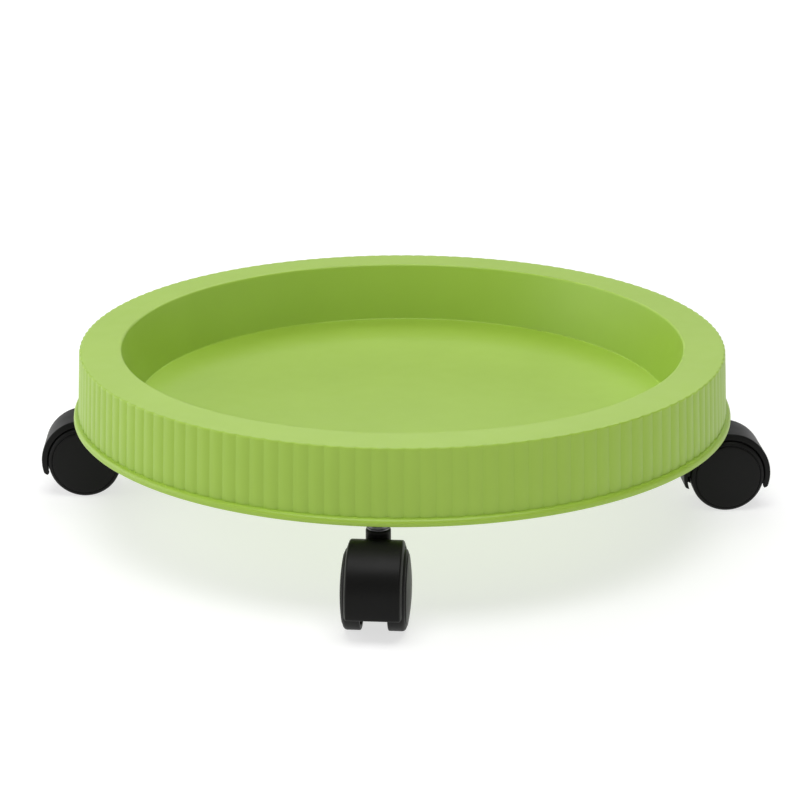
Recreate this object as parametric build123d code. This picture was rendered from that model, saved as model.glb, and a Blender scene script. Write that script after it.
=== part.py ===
from build123d import *

import os
from math import cos, pi, sin, sqrt

# Round plant pot caddy: a reeded plastic tray that rolls on four twin-wheel swivel casters.
#
# Frame: +Z up, origin on the floor below the tray's axis, millimetres.
# The casters stand at the front (-Y), right (+X), back (+Y) and left (-X), each trailing outwards. At rest
# the two at the sides stand a few degrees off their radial line, as free casters do.
# A caster is modelled in its own frame first: the swivel axis is Z, the floor is Z = 0 and its wheels
# trail towards +X, so the axle runs along Y.

# Overall
OVERALL_HEIGHT = 91.0
WHEEL_RADIUS = 20.0
SIDE_SWIVEL = 7.0
CASTERS = {"right": (0, SIDE_SWIVEL), "back": (90, 0), "left": (180, SIDE_SWIVEL), "front": (270, 0)}
SIDES = {"a": 1, "b": -1}

# Tray: one moulding with a wide rim round a bowl
RIM_RADIUS = 175.0
TRAY_HEIGHT = 38.4
BOWL_MOUTH_RADIUS = 152.6
BOWL_FLOOR_RADIUS = 145.4
BOWL_DEPTH = 32.4
SKIRT_FOOT_RADIUS = 177.0
BEAD_RADIUS = 179.5
BEAD_HEIGHT = 3.7
WALL = 2.3
REEDS = 144
REED_DEPTH = 0.7
RIM_EDGE_ROUND = 0.9
BOWL_LIP_ROUND = 1.2
BOWL_FLOOR_ROUND = 3.0
BEAD_TOP_ROUND = 1.3
BEAD_FOOT_ROUND = 0.6
RIB_THICKNESS = 1.8
FLOOR_RIB_DROP = 2.8
FLOOR_RINGS = (48.0, 96.0)
FLOOR_SPOKES = 8
CHANNEL_RIB_SPREAD = 30.0

TRAY_TOP = OVERALL_HEIGHT
TRAY_FOOT = TRAY_TOP - TRAY_HEIGHT
BOWL_FLOOR = TRAY_TOP - BOWL_DEPTH
FLOOR_UNDERSIDE = BOWL_FLOOR - WALL
RIM_UNDERSIDE = TRAY_TOP - WALL
BEAD_TOP = TRAY_FOOT + BEAD_HEIGHT

# Swivel: a steel stem held in a sleeve in the tray's boss, with the hood turning on its lower end
STEM_CIRCLE_RADIUS = 163.0
STEM_RADIUS = 4.0
STEM_COLLAR_RADIUS = 5.5
STEM_COLLAR_HEIGHT = 1.9
STEM_FOOT = 15.8
STEM_TIP = 84.0
STEM_GROOVE_RADIUS = 3.2
RUNNING_CLEARANCE = 0.05
CLIP_THICKNESS = 1.0
CLIP_GROOVE = 1.1
CLIP_GAP = 1.6
HOOD_CLIP_LEVEL = 24.3
HOOD_CLIP_RADIUS = 4.6
GRIP_RING_RADIUS = 5.2
SLEEVE_RADIUS = 5.45
SLEEVE_FLANGE_RADIUS = 7.0
SLEEVE_FLANGE_HEIGHT = 1.5
SLEEVE_LENGTH = 31.7
BOSS_RADIUS = 8.5
BOSS_BORE_RADIUS = SLEEVE_RADIUS + RUNNING_CLEARANCE
BOSS_BORE_TOP = 86.0
WASHER_RADIUS = 5.7
WASHER_HEIGHT = 0.6

# Hood: the caster's body, an arch over both wheels round the axle
TRAIL = 14.6
HOOD_RADIUS = 23.8
HOOD_WALL = 1.8
HOOD_LIP_RADIUS = 20.6
HOOD_CROWN_HALF_WIDTH = 12.9
HOOD_HALF_WIDTH = 14.0
HOOD_LIP_THICKNESS = 1.3
HOOD_CROWN_ROUND = 1.1
HOOD_TIP_DROP = 5.8
NECK_RADIUS = 6.15
NECK_TOP = 46.0
NECK_FOOT = 12.5
NECK_TOP_ROUND = 1.4
NECK_FOOT_ROUND = 0.8
HOOD_WEB_HALF_WIDTH = 1.7
HOOD_WEB_DROP = 6.5
AXLE_BOSS_RADIUS = 4.8
AXLE_BOSS_HALF_WIDTH = 5.6

# Axle and wheels
AXLE_RADIUS = 2.5
AXLE_HALF_LENGTH = 15.2
AXLE_GROOVE_RADIUS = 2.05
AXLE_GROOVE = (13.1, 14.0)
HUB_RADIUS = 5.2
HUB_FACE = 5.8
WHEEL_INNER_FACE = 6.6
WHEEL_WEB = (12.4, 14.4)
WHEEL_SHOULDER_START = 12.8
WHEEL_OUTER_FACE = 15.2
RIM_BORE_RADIUS = 17.3
CAP_SEAT_RADIUS = 17.7
CAP_RADIUS = 17.5
CAP_EDGE = 15.6
CAP_CROWN = 17.2
CAP_SHELL = 1.1
WHEEL_SPOKES = 6
WHEEL_SPOKE_THICKNESS = 1.4


def turned(points, plane=Plane.XZ, axis=Axis.Z, rounds=()):
    """The solid that a closed outline of (radius, height) points sweeps in a full turn about the axis.

    rounds lists (point index, radius) for the outline's rounded corners."""
    outline = make_face(Polyline(*points, close=True))
    for index, radius in rounds:
        corner = Vector(*points[index])
        outline = fillet(outline.vertices().sort_by_distance(corner)[0], radius)
    return revolve(plane * outline, axis)


def circle_about_axle(radius, half_width):
    """A cylinder about the axle of a caster that stands at its own origin."""
    return Pos(TRAIL, 0, WHEEL_RADIUS) * Rot(90, 0, 0) * Cylinder(radius, 2 * half_width)


def turned_about_axle(points, side, rounds=()):
    """The solid that (radius, distance from the caster's middle) points sweep about the axle."""
    spun = turned(points, rounds=rounds)
    return Pos(TRAIL, 0, WHEEL_RADIUS) * Rot(-90 * side, 0, 0) * spun


def at_caster(shape, place):
    """Moves a piece from the caster's own frame to its place under the rim, turned to its rest swivel."""
    angle, swivel = CASTERS[place]
    return Rot(0, 0, angle) * Pos(STEM_CIRCLE_RADIUS, 0, 0) * Rot(0, 0, swivel) * shape


# ---------------------------------------------------------------- tray


def reeded_outline(crest_radius, height):
    """A closed outline of convex reeds that meet in sharp grooves, one every 360 / REEDS degrees."""
    step = 2 * pi / REEDS
    groove_radius = crest_radius - REED_DEPTH

    def point(radius, turn):
        return (radius * cos(turn), radius * sin(turn), height)

    arcs = [
        ThreePointArc(
            point(groove_radius, (i - 0.5) * step),
            point(crest_radius, i * step),
            point(groove_radius, (i + 0.5) * step),
        )
        for i in range(REEDS)
    ]
    return Wire(arcs)


def reeded_block():
    """The solid inside the reeded skirt, with its upper edge rounded."""
    foot = BEAD_TOP - 1.0
    block = Solid.make_loft(
        [reeded_outline(SKIRT_FOOT_RADIUS, foot), reeded_outline(RIM_RADIUS, TRAY_TOP)], ruled=True
    )
    edge = RIM_RADIUS - RIM_EDGE_ROUND
    shoulder = TRAY_TOP - RIM_EDGE_ROUND
    outline = make_face(
        [
            Line((0, foot), (0, TRAY_TOP)),
            Line((0, TRAY_TOP), (edge, TRAY_TOP)),
            RadiusArc((edge, TRAY_TOP), (RIM_RADIUS, shoulder), RIM_EDGE_ROUND),
            Line((RIM_RADIUS, shoulder), (BEAD_RADIUS, foot)),
            Line((BEAD_RADIUS, foot), (0, foot)),
        ]
    )
    return block & revolve(Plane.XZ * outline, Axis.Z)


def bead_disc():
    """The rolled bead at the skirt's foot, as a disc that the hollows are cut from."""
    points = [(0, TRAY_FOOT), (BEAD_RADIUS, TRAY_FOOT), (BEAD_RADIUS, BEAD_TOP), (0, BEAD_TOP)]
    return turned(points, rounds=[(1, BEAD_FOOT_ROUND), (2, BEAD_TOP_ROUND)])


def bowl_space():
    """What is cut away above the floor, with the lip's and the floor corner's rounds."""
    lip = BOWL_MOUTH_RADIUS
    points = [
        (0, BOWL_FLOOR),
        (BOWL_FLOOR_RADIUS, BOWL_FLOOR),
        (lip, TRAY_TOP),
        (lip + 2 * BOWL_LIP_ROUND, TRAY_TOP),
        (lip + 2 * BOWL_LIP_ROUND, TRAY_TOP + 2 * BOWL_LIP_ROUND),
        (0, TRAY_TOP + 2 * BOWL_LIP_ROUND),
    ]
    return turned(points, rounds=[(1, BOWL_FLOOR_ROUND), (2, BOWL_LIP_ROUND)])


def underside_space():
    """The hollow below: a shallow recess under the floor and the deep channel under the rim."""
    skirt_thickness = WALL + REED_DEPTH
    points = [
        (0, TRAY_FOOT - 5),
        (SKIRT_FOOT_RADIUS - skirt_thickness, TRAY_FOOT - 5),
        (SKIRT_FOOT_RADIUS - skirt_thickness, TRAY_FOOT),
        (RIM_RADIUS - skirt_thickness, RIM_UNDERSIDE),
        (BOWL_MOUTH_RADIUS + WALL, RIM_UNDERSIDE),
        (BOWL_FLOOR_RADIUS + WALL, FLOOR_UNDERSIDE),
        (0, FLOOR_UNDERSIDE),
    ]
    return turned(points, rounds=[(3, 1.0), (4, 1.0)])


def floor_ribs():
    """Two rings and eight spokes that stiffen the floor from below, flush above the bead's foot."""
    foot = FLOOR_UNDERSIDE - FLOOR_RIB_DROP
    drop = FLOOR_RIB_DROP + WALL / 2
    middle = Pos(0, 0, foot + drop / 2)
    ribs = [
        middle * (Cylinder(r + RIB_THICKNESS / 2, drop) - Cylinder(r - RIB_THICKNESS / 2, drop))
        for r in FLOOR_RINGS
    ]
    reach = BOWL_FLOOR_RADIUS - FLOOR_RINGS[0]
    for i in range(FLOOR_SPOKES):
        spoke = Pos(FLOOR_RINGS[0] + reach / 2, 0, 0) * Box(reach, RIB_THICKNESS, drop)
        ribs.append(Rot(0, 0, 360 / FLOOR_SPOKES * (i + 0.5)) * middle * spoke)
    return ribs


def channel_ribs(space):
    """Ribs across the rim's channel: through each boss and to each side of it."""
    length = BEAD_RADIUS - BOWL_FLOOR_RADIUS
    rib = Pos(BOWL_FLOOR_RADIUS + length / 2, 0, (BEAD_TOP + TRAY_TOP) / 2) * Box(
        length, RIB_THICKNESS, TRAY_TOP - BEAD_TOP
    )
    turns = (-CHANNEL_RIB_SPREAD, 0, CHANNEL_RIB_SPREAD)
    return [Rot(0, 0, angle + turn) * rib & space for angle, _ in CASTERS.values() for turn in turns]


def tray():
    space = underside_space()
    body = reeded_block() + bead_disc()
    body = body - bowl_space() - space
    foot = BOSS_FOOT
    boss = Pos(0, 0, (foot + RIM_UNDERSIDE + 0.5) / 2) * Cylinder(BOSS_RADIUS, RIM_UNDERSIDE + 0.5 - foot)
    bore = Pos(0, 0, (foot + BOSS_BORE_TOP) / 2) * Cylinder(BOSS_BORE_RADIUS, BOSS_BORE_TOP - foot)
    body = body + channel_ribs(space) + floor_ribs()
    body = body + [at_caster(boss, place) for place in CASTERS]
    return body - [at_caster(bore, place) for place in CASTERS]


# ---------------------------------------------------------------- swivel

WASHER_FOOT = NECK_TOP + 0.02
COLLAR_FOOT = NECK_TOP + WASHER_HEIGHT + 0.04
COLLAR_TOP = COLLAR_FOOT + STEM_COLLAR_HEIGHT
BOSS_FOOT = COLLAR_TOP + SLEEVE_FLANGE_HEIGHT
SLEEVE_TOP = COLLAR_TOP + SLEEVE_LENGTH
GRIP_RING_LEVEL = SLEEVE_TOP + CLIP_GROOVE / 2 + 0.1


def stem():
    """The steel pin: journal, collar, shank and a groove near each end."""
    r, g = STEM_RADIUS, STEM_GROOVE_RADIUS
    low, high = HOOD_CLIP_LEVEL - CLIP_GROOVE / 2, HOOD_CLIP_LEVEL + CLIP_GROOVE / 2
    ring_low, ring_high = GRIP_RING_LEVEL - CLIP_GROOVE / 2, GRIP_RING_LEVEL + CLIP_GROOVE / 2
    chamfer, collar_chamfer = 0.8, 0.4
    points = [
        (0, STEM_FOOT),
        (r - chamfer, STEM_FOOT),
        (r, STEM_FOOT + chamfer),
        (r, low),
        (g, low),
        (g, high),
        (r, high),
        (r, COLLAR_FOOT),
        (STEM_COLLAR_RADIUS - collar_chamfer, COLLAR_FOOT),
        (STEM_COLLAR_RADIUS, COLLAR_FOOT + collar_chamfer),
        (STEM_COLLAR_RADIUS, COLLAR_TOP - collar_chamfer),
        (STEM_COLLAR_RADIUS - collar_chamfer, COLLAR_TOP),
        (r, COLLAR_TOP),
        (r, ring_low),
        (g, ring_low),
        (g, ring_high),
        (r, ring_high),
        (r, STEM_TIP - 2 * chamfer),
        (r - chamfer, STEM_TIP),
        (0, STEM_TIP),
    ]
    return turned(points)


def split_ring(outer_radius, level):
    """A sprung ring in a stem's groove, open on one side."""
    inner_radius = STEM_GROOVE_RADIUS + RUNNING_CLEARANCE
    ring = Cylinder(outer_radius, CLIP_THICKNESS) - Cylinder(inner_radius, CLIP_THICKNESS)
    gap = Pos(outer_radius, 0, 0) * Box(2 * outer_radius, CLIP_GAP, CLIP_THICKNESS)
    return Pos(0, 0, level) * (ring - gap)


def socket_sleeve():
    """The nylon sleeve in the tray's boss that grips the stem."""
    bore = STEM_RADIUS + RUNNING_CLEARANCE
    points = [
        (bore, COLLAR_TOP),
        (SLEEVE_FLANGE_RADIUS, COLLAR_TOP),
        (SLEEVE_FLANGE_RADIUS, BOSS_FOOT),
        (SLEEVE_RADIUS, BOSS_FOOT),
        (SLEEVE_RADIUS, SLEEVE_TOP),
        (bore, SLEEVE_TOP),
    ]
    return turned(points, rounds=[(1, 0.4)])


def swivel_washer():
    washer = Cylinder(WASHER_RADIUS, WASHER_HEIGHT) - Cylinder(STEM_RADIUS + 0.1, WASHER_HEIGHT)
    return Pos(0, 0, WASHER_FOOT + WASHER_HEIGHT / 2) * washer


# ---------------------------------------------------------------- hood


def hood_arch():
    """The arch over the wheels: a thin crown with a lip down each side and rounded ends."""
    inner = HOOD_RADIUS - HOOD_WALL
    lip_inside = HOOD_HALF_WIDTH - HOOD_LIP_THICKNESS
    crown_inside = HOOD_CROWN_HALF_WIDTH - HOOD_LIP_THICKNESS
    points = [
        (HOOD_RADIUS, -HOOD_CROWN_HALF_WIDTH),
        (HOOD_RADIUS, HOOD_CROWN_HALF_WIDTH),
        (HOOD_LIP_RADIUS, HOOD_HALF_WIDTH),
        (HOOD_LIP_RADIUS, lip_inside),
        (inner, crown_inside),
        (inner, -crown_inside),
        (HOOD_LIP_RADIUS, -lip_inside),
        (HOOD_LIP_RADIUS, -HOOD_HALF_WIDTH),
    ]
    ring = turned_about_axle(points, 1, rounds=[(0, HOOD_CROWN_ROUND), (1, HOOD_CROWN_ROUND)])
    middle_radius = (HOOD_RADIUS + HOOD_LIP_RADIUS) / 2
    reach = sqrt(middle_radius**2 - HOOD_TIP_DROP**2)
    arc = ThreePointArc((-reach, -HOOD_TIP_DROP), (0, middle_radius), (reach, -HOOD_TIP_DROP))
    side_view = SlotArc(arc, HOOD_RADIUS - HOOD_LIP_RADIUS)
    placed = Pos(TRAIL, 0, WHEEL_RADIUS) * Rot(90, 0, 0) * side_view
    return ring & extrude(placed, HOOD_HALF_WIDTH + 1, both=True)


def hood():
    """The whole caster body: arch, web, neck, axle boss and the bores for stem and axle."""
    inner = HOOD_RADIUS - HOOD_WALL
    arch = hood_arch()
    lip_end = Pos(TRAIL - HOOD_RADIUS, 0, WHEEL_RADIUS - HOOD_RADIUS / 2) * Box(
        HOOD_RADIUS, 2 * HOOD_RADIUS, HOOD_RADIUS
    )
    arch = arch - (circle_about_axle(inner, HOOD_RADIUS) & lip_end)
    web_foot = WHEEL_RADIUS - HOOD_WEB_DROP
    above = Pos(TRAIL, 0, web_foot + HOOD_RADIUS) * Box(3 * HOOD_RADIUS, 4, 2 * HOOD_RADIUS)
    web = circle_about_axle(inner + HOOD_WALL / 2, HOOD_WEB_HALF_WIDTH) & above
    neck = Pos(0, 0, (NECK_FOOT + NECK_TOP) / 2) * Cylinder(NECK_RADIUS, NECK_TOP - NECK_FOOT)
    foot_edge, top_edge = neck.edges().filter_by(GeomType.CIRCLE).sort_by(Axis.Z)
    neck = fillet(top_edge, NECK_TOP_ROUND)
    neck = fillet(neck.edges().filter_by(GeomType.CIRCLE).sort_by(Axis.Z)[0], NECK_FOOT_ROUND)
    body = arch + web + neck + circle_about_axle(AXLE_BOSS_RADIUS, AXLE_BOSS_HALF_WIDTH)
    bore_foot = STEM_FOOT - 0.5
    bore = Cylinder(STEM_RADIUS + RUNNING_CLEARANCE, NECK_TOP - bore_foot)
    groove = Cylinder(HOOD_CLIP_RADIUS + 0.3, CLIP_THICKNESS + 0.8)
    body = body - Pos(0, 0, (bore_foot + NECK_TOP) / 2) * bore - Pos(0, 0, HOOD_CLIP_LEVEL) * groove
    return body - circle_about_axle(AXLE_RADIUS, HOOD_RADIUS)


# ---------------------------------------------------------------- axle and wheels


def axle():
    r, g = AXLE_RADIUS, AXLE_GROOVE_RADIUS
    low, high = AXLE_GROOVE
    end, chamfer = AXLE_HALF_LENGTH, 0.5
    half = [(r, 0), (r, low), (g, low), (g, high), (r, high), (r, end - chamfer), (r - chamfer, end)]
    other_half = [(radius, -y) for radius, y in reversed(half[1:])]
    return turned_about_axle([(0, -end), *other_half, *half[1:], (0, end)], 1)


def wheel(side):
    """One wheel: tread rim, closed web, spokes and a hub whose lip snaps into the axle's groove."""
    bore = AXLE_RADIUS + RUNNING_CLEARANCE
    lip_low, lip_high = AXLE_GROOVE[0] + 0.1, AXLE_GROOVE[1] - 0.1
    lip = AXLE_GROOVE_RADIUS + 0.1
    web_in, web_out = WHEEL_WEB
    outline = make_face(
        [
            Polyline(
                (WHEEL_RADIUS, WHEEL_SHOULDER_START),
                (WHEEL_RADIUS, WHEEL_INNER_FACE),
                (RIM_BORE_RADIUS + 0.5, WHEEL_INNER_FACE),
                (RIM_BORE_RADIUS, web_in),
                (HUB_RADIUS, web_in),
                (HUB_RADIUS, HUB_FACE),
                (bore, HUB_FACE),
                (bore, lip_low),
                (lip, lip_low),
                (lip, lip_high),
                (bore, lip_high),
                (bore, web_out),
                (CAP_SEAT_RADIUS, web_out),
                (CAP_SEAT_RADIUS, WHEEL_OUTER_FACE),
                (CAP_SEAT_RADIUS + 0.5, WHEEL_OUTER_FACE),
            ),
            ThreePointArc(
                (CAP_SEAT_RADIUS + 0.5, WHEEL_OUTER_FACE),
                (WHEEL_RADIUS - 0.62, WHEEL_OUTER_FACE - 0.75),
                (WHEEL_RADIUS, WHEEL_SHOULDER_START),
            ),
        ]
    )
    outline = fillet(outline.vertices().sort_by_distance(Vector(WHEEL_RADIUS, WHEEL_INNER_FACE))[0], 0.6)
    body = revolve(Plane.XZ * outline, Axis.Z)
    spoke_low = WHEEL_INNER_FACE + 1.0
    reach = RIM_BORE_RADIUS - HUB_RADIUS + 1.0
    spoke = Pos(HUB_RADIUS - 0.5 + reach / 2, 0, (spoke_low + web_in + 0.5) / 2) * Box(
        reach, WHEEL_SPOKE_THICKNESS, web_in + 0.5 - spoke_low
    )
    body = body + [Rot(0, 0, 360 / WHEEL_SPOKES * i) * spoke for i in range(WHEEL_SPOKES)]
    return Pos(TRAIL, 0, WHEEL_RADIUS) * Rot(-90 * side, 0, 0) * body


def wheel_cap(side):
    """The domed cover that closes a wheel's outer side over the axle's end."""
    seat = WHEEL_WEB[1]
    outline = make_face(
        [
            ThreePointArc(
                (0, CAP_CROWN),
                (CAP_RADIUS / 2, CAP_EDGE + 0.75 * (CAP_CROWN - CAP_EDGE)),
                (CAP_RADIUS, CAP_EDGE),
            ),
            Polyline(
                (CAP_RADIUS, CAP_EDGE),
                (CAP_RADIUS, seat),
                (AXLE_RADIUS + 1.5, seat),
                (AXLE_RADIUS + 1.5, CAP_CROWN - CAP_SHELL),
                (0, CAP_CROWN - CAP_SHELL),
                (0, CAP_CROWN),
            ),
        ]
    )
    outline = fillet(outline.vertices().sort_by_distance(Vector(CAP_RADIUS, CAP_EDGE))[0], 0.5)
    body = revolve(Plane.XZ * outline, Axis.Z)
    return Pos(TRAIL, 0, WHEEL_RADIUS) * Rot(-90 * side, 0, 0) * body


# ---------------------------------------------------------------- assembly


def caster_pieces():
    """Every piece of one caster in its own frame, by name."""
    pieces = {
        "stem": stem(),
        "stem_clip": split_ring(HOOD_CLIP_RADIUS, HOOD_CLIP_LEVEL),
        "grip_ring": split_ring(GRIP_RING_RADIUS, GRIP_RING_LEVEL),
        "socket_sleeve": socket_sleeve(),
        "swivel_washer": swivel_washer(),
        "hood": hood(),
        "axle": axle(),
    }
    for name, side in SIDES.items():
        pieces["wheel_" + name] = wheel(side)
        pieces["wheel_cap_" + name] = wheel_cap(side)
    return pieces


def save(shape, name):
    export_step(shape, f"parts/{name}.step")


def main():
    os.makedirs("parts", exist_ok=True)
    save(tray(), "tray")
    for piece, shape in caster_pieces().items():
        for place in CASTERS:
            save(at_caster(shape, place), f"{place}_{piece}")


main()
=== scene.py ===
from math import atan2, cos, hypot, pi, radians, sin, sqrt, tan

import bmesh
import bpy
from mathutils import Matrix, Vector


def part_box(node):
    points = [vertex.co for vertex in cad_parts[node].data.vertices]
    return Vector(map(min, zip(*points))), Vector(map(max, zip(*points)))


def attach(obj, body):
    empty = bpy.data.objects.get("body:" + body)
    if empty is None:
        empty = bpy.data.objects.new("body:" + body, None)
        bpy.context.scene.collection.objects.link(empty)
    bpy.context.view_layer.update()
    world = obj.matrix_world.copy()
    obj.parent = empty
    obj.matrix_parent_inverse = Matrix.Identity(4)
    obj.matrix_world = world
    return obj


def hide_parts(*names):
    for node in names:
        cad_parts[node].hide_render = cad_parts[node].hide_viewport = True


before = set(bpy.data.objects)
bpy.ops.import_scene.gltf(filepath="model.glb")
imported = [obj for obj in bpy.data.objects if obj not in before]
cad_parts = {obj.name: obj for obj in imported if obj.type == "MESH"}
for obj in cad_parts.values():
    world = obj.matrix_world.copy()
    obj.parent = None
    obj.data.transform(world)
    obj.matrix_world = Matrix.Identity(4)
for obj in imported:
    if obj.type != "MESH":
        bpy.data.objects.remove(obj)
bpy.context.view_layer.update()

MM = 0.001
NEAR_AXIS = 0.1 * MM
SLACK = 0.01 * MM
PLACES = ("front", "right", "back", "left")
SIDES = {"a": 1, "b": -1}
LIGHT_AIM = Vector((0, 0, 50 * MM))

# Tray. Its top and its bosses' foot come from the frame.
tray_low, tray_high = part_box("tray")
TRAY_TOP = tray_high.z
BOSS_FOOT = tray_low.z
BEAD_RADIUS = 179.5 * MM
RIM_RADIUS = 175.0 * MM
BOWL_MOUTH_RADIUS = 152.6 * MM
BOWL_FLOOR_RADIUS = 145.4 * MM
BOWL_FLOOR_ROUND = 0.5 * MM
SKIRT_FOOT_RADIUS = 177.0 * MM
TRAY_FOOT = TRAY_TOP - 38.4 * MM
BEAD_TOP = TRAY_FOOT + 3.7 * MM
WALL = 2.3 * MM
BOWL_FLOOR = TRAY_TOP - 32.4 * MM
FLOOR_UNDERSIDE = BOWL_FLOOR - WALL
RIM_UNDERSIDE = TRAY_TOP - WALL
REEDS = 144
REED_DEPTH = 0.7 * MM
REED_TURN = radians(0.5)
REED_COLUMNS = 8
REEDED_FROM = 172.0 * MM
FLOOR_EDGE = 130.0 * MM
FLOOR_COLUMNS = REEDS
FLOOR_RING_STEP = 8.0 * MM
RIB_THICKNESS = 1.8 * MM
FLOOR_RIB_DROP = 2.8 * MM
FLOOR_RINGS = (48.0 * MM, 96.0 * MM)
FLOOR_SPOKES = 8
CHANNEL_RIB_TURNS = (radians(-30), 0.0, radians(30))
RIB_SINK = 0.8 * MM
BOSS_RADIUS = 8.5 * MM
BOSS_BORE_RADIUS = 5.5 * MM
BOSS_BORE_TOP = TRAY_TOP - 5.0 * MM
BOSS_EDGE = 0.5 * MM
BOSS_ROOT = RIM_UNDERSIDE + WALL / 3
BOWL_LIP_ROUND = 1.2 * MM
RIM_EDGE_ROUND = 0.9 * MM
BEAD_TOP_ROUND = 2.2 * MM
BEAD_FOOT_ROUND = 0.7 * MM
SKIRT_INNER_ROUND = 0.4 * MM
CHANNEL_ROUND = 1.0 * MM
UNDERSIDE_ROUND = 0.6 * MM
RIB_EDGE_ROUND = 0.4 * MM
ROUND_COLUMNS = 64

# Caster, in its own frame: the axle's middle is the origin, +X trails outwards and Y is the axle.
WHEEL_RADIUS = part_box("right_wheel_a")[1].z / 2
HOOD_RADIUS = 23.8 * MM
HOOD_WALL = 1.8 * MM
HOOD_LIP_RADIUS = 20.6 * MM
HOOD_CROWN_HALF_WIDTH = 12.9 * MM
HOOD_HALF_WIDTH = 14.0 * MM
HOOD_LIP_THICKNESS = 1.3 * MM
HOOD_TIP_DROP = 5.8 * MM
HOOD_EDGE_ROUND = 1.1 * MM
HOOD_LIP_ROUND = 0.35 * MM
HOOD_INNER_ROUND = 0.5 * MM
HOOD_STATIONS = 96
HOOD_END_STATIONS = 6
HOOD_END_CLOSED = 0.97
NECK_RADIUS = 6.15 * MM
NECK_FOOT = -7.5 * MM
NECK_FOOT_ROUND = 0.8 * MM
NECK_TOP_ROUND = 1.4 * MM
NECK_COLUMNS = 96
HOOD_WEB_HALF_WIDTH = 1.7 * MM
HOOD_WEB_DROP = 6.5 * MM
AXLE_BOSS_RADIUS = 4.8 * MM
AXLE_BOSS_HALF_WIDTH = 5.6 * MM
AXLE_BOSS_EDGE = 0.4 * MM
AXLE_RADIUS = 2.5 * MM
STEM_BORE_RADIUS = 4.05 * MM
STEM_BORE_FOOT = -4.7 * MM
CLIP_SPACE_RADIUS = 4.9 * MM
CLIP_SPACE_HALF_HEIGHT = 0.9 * MM
WHEEL_COLUMNS = 128
HUB_RADIUS = 5.2 * MM
HUB_FACE = 5.8 * MM
WHEEL_BORE_RADIUS = 2.55 * MM
WHEEL_INNER_FACE = 6.6 * MM
WHEEL_OUTER_FACE = 15.2 * MM
TREAD_OUTER_ROUND = 2.1 * MM
TREAD_INNER_ROUND = 0.6 * MM
WEB_INNER_FACE = 12.4 * MM
WEB_OUTER_FACE = 14.4 * MM
RIM_BORE_RADIUS = 17.3 * MM
RIM_BORE_FLARE = 0.5 * MM
RIM_BORE_ROUND = 0.3 * MM
WEB_ROUND = 0.6 * MM
HUB_ROUND = 0.3 * MM
WHEEL_BORE_ROUND = 0.2 * MM
CAP_SEAT_ROUND = 0.12 * MM
CAP_SEAT_RADIUS = 17.7 * MM
CAP_RADIUS = 17.5 * MM
CAP_EDGE = 15.6 * MM
CAP_CROWN = 17.2 * MM
CAP_RINGS = 14
CAP_DOME_RADIUS = CAP_RADIUS - 0.35 * MM
CAP_WELL_RADIUS = AXLE_RADIUS + 1.5 * MM
CAP_WELL_FLOOR = CAP_CROWN - 1.1 * MM
WHEEL_SPOKES = 6
WHEEL_SPOKE_THICKNESS = 1.4 * MM
WHEEL_SPOKE_SINK = 0.5 * MM
WHEEL_SPOKE_SETBACK = 1.0 * MM


# ---------------------------------------------------------------- mesh helpers


def rounded(corners, steps=6, hold=0.25 * MM):
    """The points of a closed outline. A corner is (x, y) or (x, y, radius), which becomes an arc.
    Beside each arc a point holds the flat next to it flat when it is shaded smooth."""
    points = []
    count = len(corners)
    for i, corner in enumerate(corners):
        here = Vector(corner[:2])
        radius = corner[2] if len(corner) > 2 else 0.0
        if radius == 0.0:
            points.append(tuple(here))
            continue
        before = Vector(corners[i - 1][:2]) - here
        after = Vector(corners[(i + 1) % count][:2]) - here
        room_before, room_after = before.length, after.length
        before.normalize()
        after.normalize()
        half = before.angle(after) / 2
        run = radius / tan(half)
        middle = here + (before + after).normalized() * (radius / sin(half))
        start = here + before * run - middle
        end = here + after * run - middle
        turn = atan2(start.x * end.y - start.y * end.x, start.dot(end))
        if room_before > run + 4 * hold:
            points.append(tuple(middle + start + before * hold))
        for k in range(steps + 1):
            a = turn * k / steps
            arm = Vector((start.x * cos(a) - start.y * sin(a), start.x * sin(a) + start.y * cos(a)))
            points.append(tuple(middle + arm))
        if room_after > run + 4 * hold:
            points.append(tuple(middle + end + after * hold))
    return points


def mesh_object(name, bm, sharp=35):
    """A smooth-shaded object from a bmesh; edges that turn by more than that many degrees stay sharp."""
    bmesh.ops.recalc_face_normals(bm, faces=bm.faces)
    mesh = bpy.data.meshes.new(name)
    bm.to_mesh(mesh)
    bm.free()
    obj = bpy.data.objects.new(name, mesh)
    bpy.context.scene.collection.objects.link(obj)
    shade(obj, sharp)
    return obj


def shade(obj, sharp=35):
    obj.data.shade_smooth()
    obj.data.set_sharp_from_angle(angle=radians(sharp))


def bridge(bm, low, high):
    """Quads between two rings of vertices."""
    count = len(low)
    for i in range(count):
        j = (i + 1) % count
        bm.faces.new((low[i], low[j], high[j], high[i]))


def circle(bm, radius, z, columns):
    turns = [2 * pi * k / columns for k in range(columns)]
    return [bm.verts.new((radius * cos(t), radius * sin(t), z)) for t in turns]


def lathe(name, outline, columns):
    """A turned ring about Z from a closed outline of (radius, height) that stays off the axis."""
    bm = bmesh.new()
    rings = [circle(bm, r, z, columns) for r, z in outline]
    for low, high in zip(rings, rings[1:] + rings[:1]):
        bridge(bm, low, high)
    return mesh_object(name, bm)


def lathe_solid(name, outline, columns):
    """A turned solid about Z, closed by a disc at each end of an open outline of (radius, height)."""
    bm = bmesh.new()
    rings = [circle(bm, r, z, columns) for r, z in outline]
    for low, high in zip(rings, rings[1:]):
        bridge(bm, low, high)
    bm.faces.new(rings[0])
    bm.faces.new(rings[-1])
    return mesh_object(name, bm)


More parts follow.
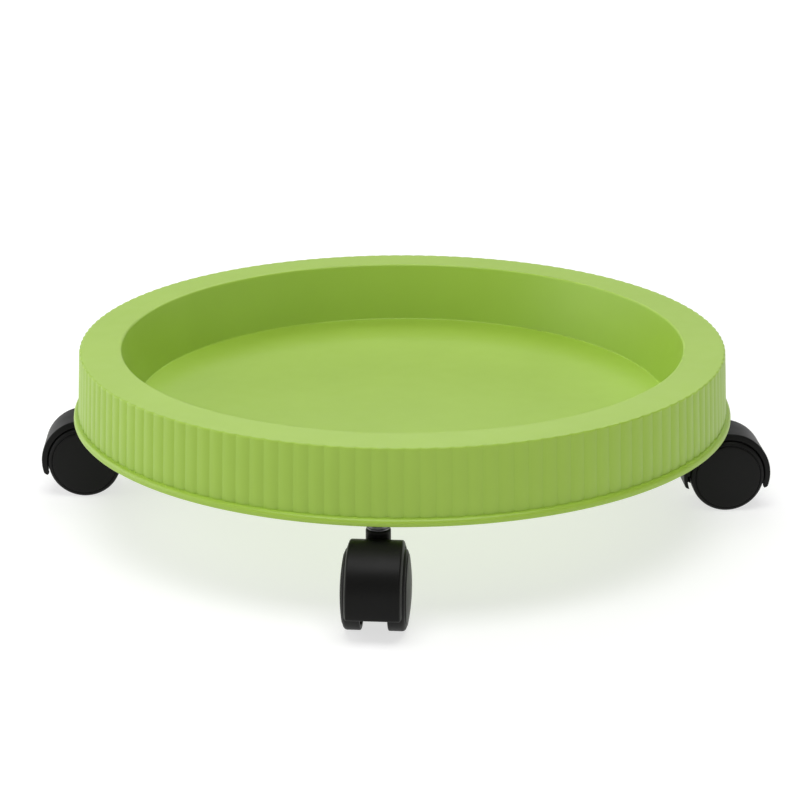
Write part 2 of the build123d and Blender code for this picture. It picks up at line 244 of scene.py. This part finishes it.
def block(name, low, high, turn=0.0):
    """A closed box from corner to corner, turned about Z: a rib, a spoke or a cutter."""
    bm = bmesh.new()
    bmesh.ops.create_cube(bm, size=1.0)
    low, high = Vector(low), Vector(high)
    size = Matrix.Diagonal((*(high - low), 1.0))
    place = Matrix.Rotation(turn, 4, "Z") @ Matrix.Translation((low + high) / 2) @ size
    bmesh.ops.transform(bm, matrix=place, verts=bm.verts)
    return mesh_object(name, bm)


def remove(obj):
    mesh = obj.data
    bpy.data.objects.remove(obj)
    bpy.data.meshes.remove(mesh)


def combine(target, tools, operation):
    """Unites each tool with the target, cuts it away or keeps what they share. The tools are used up."""
    for tool in tools:
        change = target.modifiers.new("combine", "BOOLEAN")
        change.solver = "MANIFOLD"
        change.operation = operation
        change.object = tool
        graph = bpy.context.evaluated_depsgraph_get()
        mesh = bpy.data.meshes.new_from_object(target.evaluated_get(graph))
        target.modifiers.clear()
        old, target.data = target.data, mesh
        bpy.data.meshes.remove(old)
        mesh.name = target.name
        remove(tool)
    return target


# ---------------------------------------------------------------- tray


def reed_dip(turn):
    """How far the skirt lies inside its reeds' crests at an angle: one arc per reed."""
    half = pi / REEDS
    groove = RIM_RADIUS - REED_DEPTH
    centre = (groove**2 - RIM_RADIUS**2) / (2 * (groove * cos(half) - RIM_RADIUS))
    radius = RIM_RADIUS - centre
    offset = (turn + half) % (2 * half) - half
    return RIM_RADIUS - centre * cos(offset) - sqrt(radius**2 - (centre * sin(offset)) ** 2)


def tray_outline():
    """The moulding's section, from its floor round the outside to its underside, as (radius, height)."""
    skin = WALL + REED_DEPTH
    return rounded(
        [
            (FLOOR_EDGE, BOWL_FLOOR),
            (BOWL_FLOOR_RADIUS, BOWL_FLOOR, BOWL_FLOOR_ROUND),
            (BOWL_MOUTH_RADIUS, TRAY_TOP, BOWL_LIP_ROUND),
            (RIM_RADIUS, TRAY_TOP, RIM_EDGE_ROUND),
            (SKIRT_FOOT_RADIUS, BEAD_TOP),
            (BEAD_RADIUS, BEAD_TOP, BEAD_TOP_ROUND),
            (BEAD_RADIUS, TRAY_FOOT, BEAD_FOOT_ROUND),
            (SKIRT_FOOT_RADIUS - skin, TRAY_FOOT, SKIRT_INNER_ROUND),
            (RIM_RADIUS - skin, RIM_UNDERSIDE, CHANNEL_ROUND),
            (BOWL_MOUTH_RADIUS + WALL, RIM_UNDERSIDE, CHANNEL_ROUND),
            (BOWL_FLOOR_RADIUS + WALL, FLOOR_UNDERSIDE, UNDERSIDE_ROUND),
            (FLOOR_EDGE, FLOOR_UNDERSIDE),
        ]
    )


def is_reeded(radius, height):
    return REEDED_FROM < radius < SKIRT_FOOT_RADIUS + SLACK and height > BEAD_TOP - SLACK


def fill_floor(bm, edge, z):
    """Fills the floor inside a fine ring of vertices, by way of a coarser ring."""
    per = len(edge) // FLOOR_COLUMNS
    ring = circle(bm, FLOOR_EDGE - FLOOR_RING_STEP, z, FLOOR_COLUMNS)
    for k in range(FLOOR_COLUMNS):
        outer = [edge[(k * per + j) % len(edge)] for j in range(per + 1)]
        bm.faces.new([*outer, ring[(k + 1) % FLOOR_COLUMNS], ring[k]])
    bm.faces.new(ring)


def moulding():
    """The whole tray without its ribs and bosses. Every column of the section follows the reeds."""
    outline = tray_outline()
    columns = REEDS * REED_COLUMNS
    bm = bmesh.new()
    sections = []
    for k in range(columns):
        along = 2 * pi * k / columns
        dip = reed_dip(along)
        turn = along + REED_TURN
        section = []
        for r, z in outline:
            radius = r - dip if is_reeded(r, z) else r
            section.append(bm.verts.new((radius * cos(turn), radius * sin(turn), z)))
        sections.append(section)
    for here, there in zip(sections, sections[1:] + sections[:1]):
        for i in range(len(outline) - 1):
            bm.faces.new((here[i], here[i + 1], there[i + 1], there[i]))
    fill_floor(bm, [section[0] for section in sections], BOWL_FLOOR)
    fill_floor(bm, [section[-1] for section in sections], FLOOR_UNDERSIDE)
    return mesh_object("tray_shell", bm)


def floor_ribs():
    """Rings and spokes that stiffen the floor from below."""
    foot = FLOOR_UNDERSIDE - FLOOR_RIB_DROP
    root = FLOOR_UNDERSIDE + WALL / 2
    half = RIB_THICKNESS / 2
    ribs = []
    for radius in FLOOR_RINGS:
        inner, outer = radius - half, radius + half
        low_edges = [(inner, foot, RIB_EDGE_ROUND), (outer, foot, RIB_EDGE_ROUND)]
        section = [*low_edges, (outer, root), (inner, root)]
        ribs.append(lathe("floor_ring", rounded(section, steps=3), 2 * FLOOR_COLUMNS))
    for i in range(FLOOR_SPOKES):
        turn = 2 * pi / FLOOR_SPOKES * (i + 0.5)
        ribs.append(block("spoke", (FLOOR_RINGS[0], -half, foot), (BOWL_FLOOR_RADIUS, half, root), turn))
    return ribs


def channel_space():
    """The space under the rim, a little larger than it is, so that ribs cut to it sink into the walls."""
    skin = WALL + REED_DEPTH - RIB_SINK
    wall = WALL - RIB_SINK
    section = [
        (SKIRT_FOOT_RADIUS - skin, BEAD_TOP),
        (RIM_RADIUS - skin, RIM_UNDERSIDE + RIB_SINK),
        (BOWL_MOUTH_RADIUS + wall, RIM_UNDERSIDE + RIB_SINK),
        (BOWL_FLOOR_RADIUS + wall, FLOOR_UNDERSIDE),
        (BOWL_FLOOR_RADIUS + wall, BEAD_TOP),
    ]
    return lathe("channel", section, REEDS)


def channel_ribs(angles):
    half = RIB_THICKNESS / 2
    ribs = []
    for angle in angles.values():
        for turn in CHANNEL_RIB_TURNS:
            low = (BOWL_FLOOR_RADIUS - 2 * MM, -half, BEAD_TOP)
            rib = block("channel_rib", low, (BEAD_RADIUS, half, TRAY_TOP), angle + turn)
            ribs.append(combine(rib, [channel_space()], "INTERSECT"))
    return ribs


def at_stems(obj, angles, stem_circle):
    """A copy of a turned piece at each stem's place; the first is used up."""
    copies = []
    for angle in angles.values():
        copy = bpy.data.objects.new(obj.name, obj.data.copy())
        copy.data.transform(Matrix.Rotation(angle, 4, "Z") @ Matrix.Translation((stem_circle, 0, 0)))
        bpy.context.scene.collection.objects.link(copy)
        copies.append(copy)
    remove(obj)
    return copies


def tray(angles, stem_circle):
    body = moulding()
    low_edge, high_edge = (BOSS_RADIUS, BOSS_FOOT, BOSS_EDGE), (BOSS_RADIUS, BOSS_ROOT)
    boss = rounded([(NEAR_AXIS, BOSS_FOOT), low_edge, high_edge, (NEAR_AXIS, BOSS_ROOT)], steps=4)
    bore = [(BOSS_BORE_RADIUS, BOSS_FOOT - BOSS_EDGE), (BOSS_BORE_RADIUS, BOSS_BORE_TOP)]
    combine(body, floor_ribs() + channel_ribs(angles), "UNION")
    bosses = at_stems(lathe_solid("boss", boss, ROUND_COLUMNS), angles, stem_circle)
    bores = at_stems(lathe_solid("bore", bore, ROUND_COLUMNS), angles, stem_circle)
    combine(combine(body, bosses, "UNION"), bores, "DIFFERENCE")
    shade(body, sharp=30)
    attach(body, "tray")
    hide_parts("tray")
    return body


# ---------------------------------------------------------------- casters


def about_axle(obj, side=1):
    """Turns a piece made about Z so that it lies along the axle, facing the caster's side."""
    obj.data.transform(Matrix.Rotation(-side * pi / 2, 4, "X"))
    return obj


def hood_section():
    """The hood's section as (distance from the axle, place along it): a crown and two lips."""
    inner = HOOD_RADIUS - HOOD_WALL
    lip = HOOD_HALF_WIDTH - HOOD_LIP_THICKNESS
    crown = HOOD_CROWN_HALF_WIDTH - HOOD_LIP_THICKNESS
    return rounded(
        [
            (HOOD_RADIUS, -HOOD_CROWN_HALF_WIDTH, HOOD_EDGE_ROUND),
            (HOOD_RADIUS, HOOD_CROWN_HALF_WIDTH, HOOD_EDGE_ROUND),
            (HOOD_LIP_RADIUS, HOOD_HALF_WIDTH, HOOD_LIP_ROUND),
            (HOOD_LIP_RADIUS, lip, HOOD_LIP_ROUND),
            (inner, crown, HOOD_INNER_ROUND),
            (inner, -crown, HOOD_INNER_ROUND),
            (HOOD_LIP_RADIUS, -lip, HOOD_LIP_ROUND),
            (HOOD_LIP_RADIUS, -HOOD_HALF_WIDTH, HOOD_LIP_ROUND),
        ],
        steps=5,
    )


def hood_arch():
    """The section swept over the wheels from tip to tip, drawn in to a rounded end at each tip."""
    section = hood_section()
    middle = (HOOD_RADIUS + HOOD_LIP_RADIUS) / 2
    half_depth = (HOOD_RADIUS - HOOD_LIP_RADIUS) / 2
    dip = atan2(HOOD_TIP_DROP, sqrt(middle**2 - HOOD_TIP_DROP**2))
    stations = [(-dip + (pi + 2 * dip) * k / HOOD_STATIONS, 1.0) for k in range(HOOD_STATIONS + 1)]
    last = HOOD_END_CLOSED * pi / 2
    turns = [last * k / HOOD_END_STATIONS for k in range(1, HOOD_END_STATIONS + 1)]
    ends = [(sin(turn), cos(turn)) for turn in turns]
    near = [(-dip - reach * half_depth / middle, depth) for reach, depth in reversed(ends)]
    far = [(pi + dip + reach * half_depth / middle, depth) for reach, depth in ends]
    bm = bmesh.new()
    rings = []
    for angle, depth in near + stations + far:
        ring = []
        for distance, along in section:
            r = middle + (distance - middle) * depth
            ring.append(bm.verts.new((r * cos(angle), along, r * sin(angle))))
        rings.append(ring)
    for here, there in zip(rings, rings[1:]):
        bridge(bm, here, there)
    bm.faces.new(rings[0])
    bm.faces.new(rings[-1])
    return mesh_object("hood", bm)


def hood(trail, neck_top, clip_level):
    """The caster's body in the axle's frame: arch, web, neck and axle boss, with their two bores."""
    inner = HOOD_RADIUS - HOOD_WALL
    arch = hood_arch()
    lip_line = [(inner, -HOOD_RADIUS), (inner, HOOD_RADIUS)]
    lip_cut = about_axle(lathe_solid("lip_cut", lip_line, WHEEL_COLUMNS))
    corner = (-1.5 * HOOD_RADIUS, -HOOD_RADIUS, -HOOD_RADIUS)
    combine(lip_cut, [block("inner_half", corner, (-0.5 * HOOD_RADIUS, HOOD_RADIUS, 0))], "INTERSECT")
    combine(arch, [lip_cut], "DIFFERENCE")
    half = HOOD_WEB_HALF_WIDTH
    rim = inner + HOOD_WALL / 2
    web = about_axle(lathe_solid("web", [(rim, -half), (rim, half)], WHEEL_COLUMNS))
    below = (-2 * HOOD_RADIUS, -HOOD_RADIUS, -2 * HOOD_RADIUS)
    combine(web, [block("below", below, (2 * HOOD_RADIUS, HOOD_RADIUS, -HOOD_WEB_DROP))], "DIFFERENCE")
    low_edge = (NECK_RADIUS, NECK_FOOT, NECK_FOOT_ROUND)
    top_edge = (NECK_RADIUS, neck_top, NECK_TOP_ROUND)
    neck_outline = rounded([(NEAR_AXIS, NECK_FOOT), low_edge, top_edge, (NEAR_AXIS, neck_top)])
    neck = lathe_solid("neck", neck_outline, NECK_COLUMNS)
    neck.data.transform(Matrix.Translation((-trail, 0, 0)))
    wide = AXLE_BOSS_HALF_WIDTH
    edges = [(AXLE_BOSS_RADIUS, end, AXLE_BOSS_EDGE) for end in (-wide, wide)]
    boss_outline = rounded([(NEAR_AXIS, -wide), *edges, (NEAR_AXIS, wide)])
    boss = about_axle(lathe_solid("axle_boss", boss_outline, ROUND_COLUMNS))
    combine(arch, [web, neck, boss], "UNION")
    stem_space = [
        (STEM_BORE_RADIUS, STEM_BORE_FOOT),
        (STEM_BORE_RADIUS, clip_level - CLIP_SPACE_HALF_HEIGHT),
        (CLIP_SPACE_RADIUS, clip_level - CLIP_SPACE_HALF_HEIGHT),
        (CLIP_SPACE_RADIUS, clip_level + CLIP_SPACE_HALF_HEIGHT),
        (STEM_BORE_RADIUS, clip_level + CLIP_SPACE_HALF_HEIGHT),
        (STEM_BORE_RADIUS, 2 * neck_top),
    ]
    stem_bore = lathe_solid("stem_bore", stem_space, ROUND_COLUMNS)
    stem_bore.data.transform(Matrix.Translation((-trail, 0, 0)))
    axle_space = [(AXLE_RADIUS, -HOOD_RADIUS), (AXLE_RADIUS, HOOD_RADIUS)]
    axle_bore = about_axle(lathe_solid("axle_bore", axle_space, ROUND_COLUMNS))
    combine(arch, [stem_bore, axle_bore], "DIFFERENCE")
    shade(arch, sharp=30)
    return arch


def wheel(side):
    """A wheel: tread, closed web, spokes and hub."""
    outline = rounded(
        [
            (WHEEL_RADIUS, WHEEL_OUTER_FACE, TREAD_OUTER_ROUND),
            (WHEEL_RADIUS, WHEEL_INNER_FACE, TREAD_INNER_ROUND),
            (RIM_BORE_RADIUS + RIM_BORE_FLARE, WHEEL_INNER_FACE, RIM_BORE_ROUND),
            (RIM_BORE_RADIUS, WEB_INNER_FACE, WEB_ROUND),
            (HUB_RADIUS, WEB_INNER_FACE, WEB_ROUND),
            (HUB_RADIUS, HUB_FACE, HUB_ROUND),
            (WHEEL_BORE_RADIUS, HUB_FACE, WHEEL_BORE_ROUND),
            (WHEEL_BORE_RADIUS, WEB_OUTER_FACE),
            (CAP_SEAT_RADIUS, WEB_OUTER_FACE),
            (CAP_SEAT_RADIUS, WHEEL_OUTER_FACE, CAP_SEAT_ROUND),
        ]
    )
    body = lathe("wheel", outline, WHEEL_COLUMNS)
    half = WHEEL_SPOKE_THICKNESS / 2
    low = (HUB_RADIUS - WHEEL_SPOKE_SINK, -half, WHEEL_INNER_FACE + WHEEL_SPOKE_SETBACK)
    high = (RIM_BORE_RADIUS + WHEEL_SPOKE_SINK, half, WEB_INNER_FACE + WHEEL_SPOKE_SINK)
    turns = [2 * pi * i / WHEEL_SPOKES for i in range(WHEEL_SPOKES)]
    combine(body, [block("spoke", low, high, turn) for turn in turns], "UNION")
    shade(body, sharp=30)
    return about_axle(body, side)


def wheel_cap(side):
    """The domed cover on a wheel's outer side, open behind its middle for the axle's end."""
    rise = CAP_CROWN - CAP_EDGE
    curve = [CAP_DOME_RADIUS * k / CAP_RINGS for k in range(1, CAP_RINGS + 1)]
    dome = [(r, CAP_CROWN - rise * (r / CAP_RADIUS) ** 2) for r in curve]
    corner = [(CAP_RADIUS - 0.12 * MM, CAP_EDGE - 0.05 * MM), (CAP_RADIUS, CAP_EDGE - 0.25 * MM)]
    edge = corner + [(CAP_RADIUS, WEB_OUTER_FACE)]
    back = [(CAP_WELL_RADIUS, WEB_OUTER_FACE), (CAP_WELL_RADIUS, CAP_WELL_FLOOR)]
    return about_axle(lathe_solid("wheel_cap", dome + edge + back, WHEEL_COLUMNS), side)


def middle(node):
    """The middle of a node's box at rest."""
    low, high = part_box(node)
    return (low + high) / 2


def casters():
    """The hood, wheels and covers of each caster, placed on the frame's axles and turned to their stems."""
    made = []
    reach = middle("front_axle") - middle("front_stem")
    neck_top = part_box("front_hood")[1].z - middle("front_axle").z
    clip_level = middle("front_stem_clip").z - middle("front_axle").z
    patterns = {"hood": hood(hypot(reach.x, reach.y), neck_top, clip_level)}
    for name, side in SIDES.items():
        patterns[f"wheel_{name}"] = wheel(side)
        patterns[f"wheel_cap_{name}"] = wheel_cap(side)
    for place in PLACES:
        axle = middle(f"{place}_axle")
        trail = axle - middle(f"{place}_stem")
        stand = Matrix.Translation(axle) @ Matrix.Rotation(atan2(trail.y, trail.x), 4, "Z")
        for part, pattern in patterns.items():
            piece = bpy.data.objects.new(f"{place}_{part}_shell", pattern.data.copy())
            piece.data.transform(stand)
            bpy.context.scene.collection.objects.link(piece)
            kind = part.removesuffix("_a").removesuffix("_b")
            body = f"{place}_caster" if kind == "hood" else f"{place}_wheel_{part[-1]}"
            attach(piece, body)
            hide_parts(f"{place}_{part}")
            made.append((piece, kind))
    for pattern in patterns.values():
        remove(pattern)
    return made


# ---------------------------------------------------------------- materials


CLOUD_SCALE = 18
GLOSS_SCALE = 90
GRAIN_STRENGTH = 0.35
NOISE_RANGE = (0.3, 0.7)


def srgb(red, green, blue):
    """A linear colour from 0 to 255 screen values."""
    parts = [c / 255 for c in (red, green, blue)]
    return (*[c / 12.92 if c <= 0.04045 else ((c + 0.055) / 1.055) ** 2.4 for c in parts], 1.0)


def noise(tree, scale, detail):
    node = tree.nodes.new("ShaderNodeTexNoise")
    node.inputs["Scale"].default_value = scale
    node.inputs["Detail"].default_value = detail
    tree.links.new(coordinates(tree), node.inputs["Vector"])
    return node.outputs["Fac"]


def coordinates(tree):
    node = tree.nodes.get("place") or tree.nodes.new("ShaderNodeTexCoord")
    node.name = "place"
    return node.outputs["Object"]


def ramp(tree, value, across, levels):
    """A value that goes from the first level to the second while the given one crosses a range."""
    node = tree.nodes.new("ShaderNodeMapRange")
    node.inputs["From Min"].default_value, node.inputs["From Max"].default_value = across
    node.inputs["To Min"].default_value, node.inputs["To Max"].default_value = levels
    tree.links.new(value, node.inputs["Value"])
    return node.outputs["Result"]


def between(tree, value, first, second):
    """A colour between two, by a 0 to 1 value."""
    node = tree.nodes.new("ShaderNodeMix")
    node.data_type = "RGBA"
    node.inputs["A"].default_value = first
    node.inputs["B"].default_value = second
    tree.links.new(value, node.inputs["Factor"])
    return node.outputs["Result"]


def bump(tree, height, depth):
    node = tree.nodes.new("ShaderNodeBump")
    node.inputs["Strength"].default_value = GRAIN_STRENGTH
    node.inputs["Distance"].default_value = depth
    tree.links.new(height, node.inputs["Height"])
    return node.outputs["Normal"]


def surface(material, socket, value):
    material.node_tree.nodes["Principled BSDF"].inputs[socket].default_value = value


def finish_of(name, dark, light, roughness, grain, depth):
    """A moulded or turned finish: cloudy colour, uneven gloss and a fine grain, all from noise."""
    material = bpy.data.materials.new(name)
    material.use_nodes = True
    tree = material.node_tree
    shader = tree.nodes["Principled BSDF"]
    clouds = ramp(tree, noise(tree, CLOUD_SCALE, detail=3), NOISE_RANGE, (0, 1))
    tree.links.new(between(tree, clouds, dark, light), shader.inputs["Base Color"])
    gloss = ramp(tree, noise(tree, GLOSS_SCALE, detail=2), NOISE_RANGE, roughness)
    tree.links.new(gloss, shader.inputs["Roughness"])
    tree.links.new(bump(tree, noise(tree, grain, detail=2), depth), shader.inputs["Normal"])
    return material


def paint(pieces):
    """Gives every piece a finish. Grain is a noise scale per metre and depth is in metres."""
    green = finish_of("tray_green", srgb(151, 185, 60), srgb(155, 189, 64), (0.40, 0.44), 2600, 0.02 * MM)
    black = finish_of("caster_black", srgb(18, 18, 17), srgb(22, 22, 21), (0.38, 0.46), 2200, 0.03 * MM)
    tread = finish_of("tread_black", srgb(18, 18, 18), srgb(22, 22, 21), (0.42, 0.50), 1800, 0.04 * MM)
    cap = finish_of("cap_black", srgb(19, 19, 18), srgb(22, 22, 21), (0.36, 0.42), 2600, 0.015 * MM)
    # Painted shade: the steel of the stems, axles and washers is darker than bare steel, standing in for
    # the shade under the tray.
    steel_darkened_for_shade = finish_of("steel_darkened_for_shade", srgb(122, 122, 125), srgb(136, 136, 139), (0.32, 0.42), 1500, 0.01 * MM)
    spring = finish_of("spring", srgb(110, 110, 114), srgb(125, 125, 129), (0.30, 0.40), 1500, 0.01 * MM)
    nylon = finish_of("sleeve_black", srgb(36, 36, 36), srgb(40, 40, 39), (0.45, 0.55), 2000, 0.02 * MM)
    for material in (steel_darkened_for_shade, spring):
        surface(material, "Metallic", 1.0)
    for material, specular in ((black, 0.11), (tread, 0.12), (cap, 0.12)):
        surface(material, "Specular IOR Level", specular)
    by_kind = {"tray": green, "hood": black, "wheel": tread, "wheel_cap": cap}
    for piece, kind in pieces:
        piece.data.materials.clear()
        piece.data.materials.append(by_kind[kind])
    by_node = {
        "stem": steel_darkened_for_shade,
        "axle": steel_darkened_for_shade,
        "swivel_washer": steel_darkened_for_shade,
        "stem_clip": spring,
        "grip_ring": spring,
        "socket_sleeve": nylon,
    }
    for place in PLACES:
        for part, material in by_node.items():
            for material_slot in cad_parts[f"{place}_{part}"].material_slots:
                material_slot.material = material


# ---------------------------------------------------------------- camera, lights and floor


CAMERA_PLACE = (81.5 * MM, -1151 * MM, TRAY_TOP + 358.6 * MM)
CAMERA_TILT = radians(-18.86)
CAMERA_TURN = radians(4.11)
CAMERA_LENS = 99.45
FLOOR_HALF_SIZE = 6.0
# Painted light from the floor: its glow near the object and far away, and the distances in metres between
# which it changes.
FLOOR_GLOW = (0.68, 1.0)
FLOOR_GLOW_REACH = (0.5, 1.3)
HORIZON_HEIGHT = (0.16, 0.3)


def camera():
    data = bpy.data.cameras.new("camera")
    data.sensor_width = 36.0
    data.lens = CAMERA_LENS
    data.clip_start = 0.05
    data.clip_end = 20.0
    obj = bpy.data.objects.new("camera", data)
    obj.location = CAMERA_PLACE
    obj.rotation_euler = (pi / 2 + CAMERA_TILT, 0, CAMERA_TURN)
    bpy.context.scene.collection.objects.link(obj)
    bpy.context.scene.camera = obj


def softbox(name, place, size, watts):
    """A rectangular light that faces the object. Its place and its two sides are in metres."""
    data = bpy.data.lights.new(name, "AREA")
    data.shape = "RECTANGLE"
    data.size, data.size_y = size
    data.energy = watts
    obj = bpy.data.objects.new(name, data)
    obj.location = place
    obj.rotation_euler = (LIGHT_AIM - Vector(place)).to_track_quat("-Z", "Y").to_euler()
    bpy.context.scene.collection.objects.link(obj)


def glowing_floor():
    """A plain grey floor whose glow is painted light: it glows less near the object than away from it, so
    that shadows on it stay faint and the object is lit from below. Away from the object it is all white.
    """
    bm = bmesh.new()
    bmesh.ops.create_grid(bm, x_segments=1, y_segments=1, size=FLOOR_HALF_SIZE)
    floor = mesh_object("floor", bm)
    pale = bpy.data.materials.new("floor_painted_glow")
    pale.use_nodes = True
    tree = pale.node_tree
    surface(pale, "Base Color", (0.4, 0.4, 0.4, 1.0))
    surface(pale, "Roughness", 0.9)
    surface(pale, "Specular IOR Level", 0.0)
    surface(pale, "Emission Color", (1.0, 1.0, 1.0, 1.0))
    away = tree.nodes.new("ShaderNodeVectorMath")
    away.operation = "LENGTH"
    tree.links.new(coordinates(tree), away.inputs[0])
    # Painted light: the glow is weaker near the object's middle and full further out.
    glow = ramp(tree, away.outputs["Value"], FLOOR_GLOW_REACH, FLOOR_GLOW)
    tree.links.new(glow, tree.nodes["Principled BSDF"].inputs["Emission Strength"])
    floor.data.materials.append(pale)


def bright_horizon():
    """A room that is white low down all round and fades to dark overhead."""
    world = bpy.data.worlds.new("room")
    world.use_nodes = True
    tree = world.node_tree
    direction = tree.nodes.new("ShaderNodeTexCoord")
    parts = tree.nodes.new("ShaderNodeSeparateXYZ")
    background = tree.nodes["Background"]
    background.inputs["Color"].default_value = (1.0, 1.0, 1.0, 1.0)
    tree.links.new(direction.outputs["Generated"], parts.inputs[0])
    level = ramp(tree, parts.outputs["Z"], HORIZON_HEIGHT, (1.0, 0.0))
    tree.links.new(level, background.inputs["Strength"])
    bpy.context.scene.world = world


def studio():
    glowing_floor()
    bright_horizon()
    softbox("front_high", place=(0, -0.35, 1.3), size=(1.2, 0.8), watts=14.0)
    softbox("back_high", place=(0, 1.1, 1.1), size=(1.6, 0.8), watts=10.0)
    softbox("left", place=(-1.5, 0.1, 0.65), size=(2.0, 1.0), watts=12.0)
    softbox("right", place=(1.5, -0.1, 0.65), size=(2.0, 1.0), watts=1.0)
    bpy.context.scene.view_settings.view_transform = "Standard"


def stem_angles():
    """Where each stem stands round the tray."""
    return {place: atan2(middle(f"{place}_stem").y, middle(f"{place}_stem").x) for place in PLACES}


shell = tray(stem_angles(), middle("right_stem").x)
paint([(shell, "tray")] + casters())
camera()
studio()
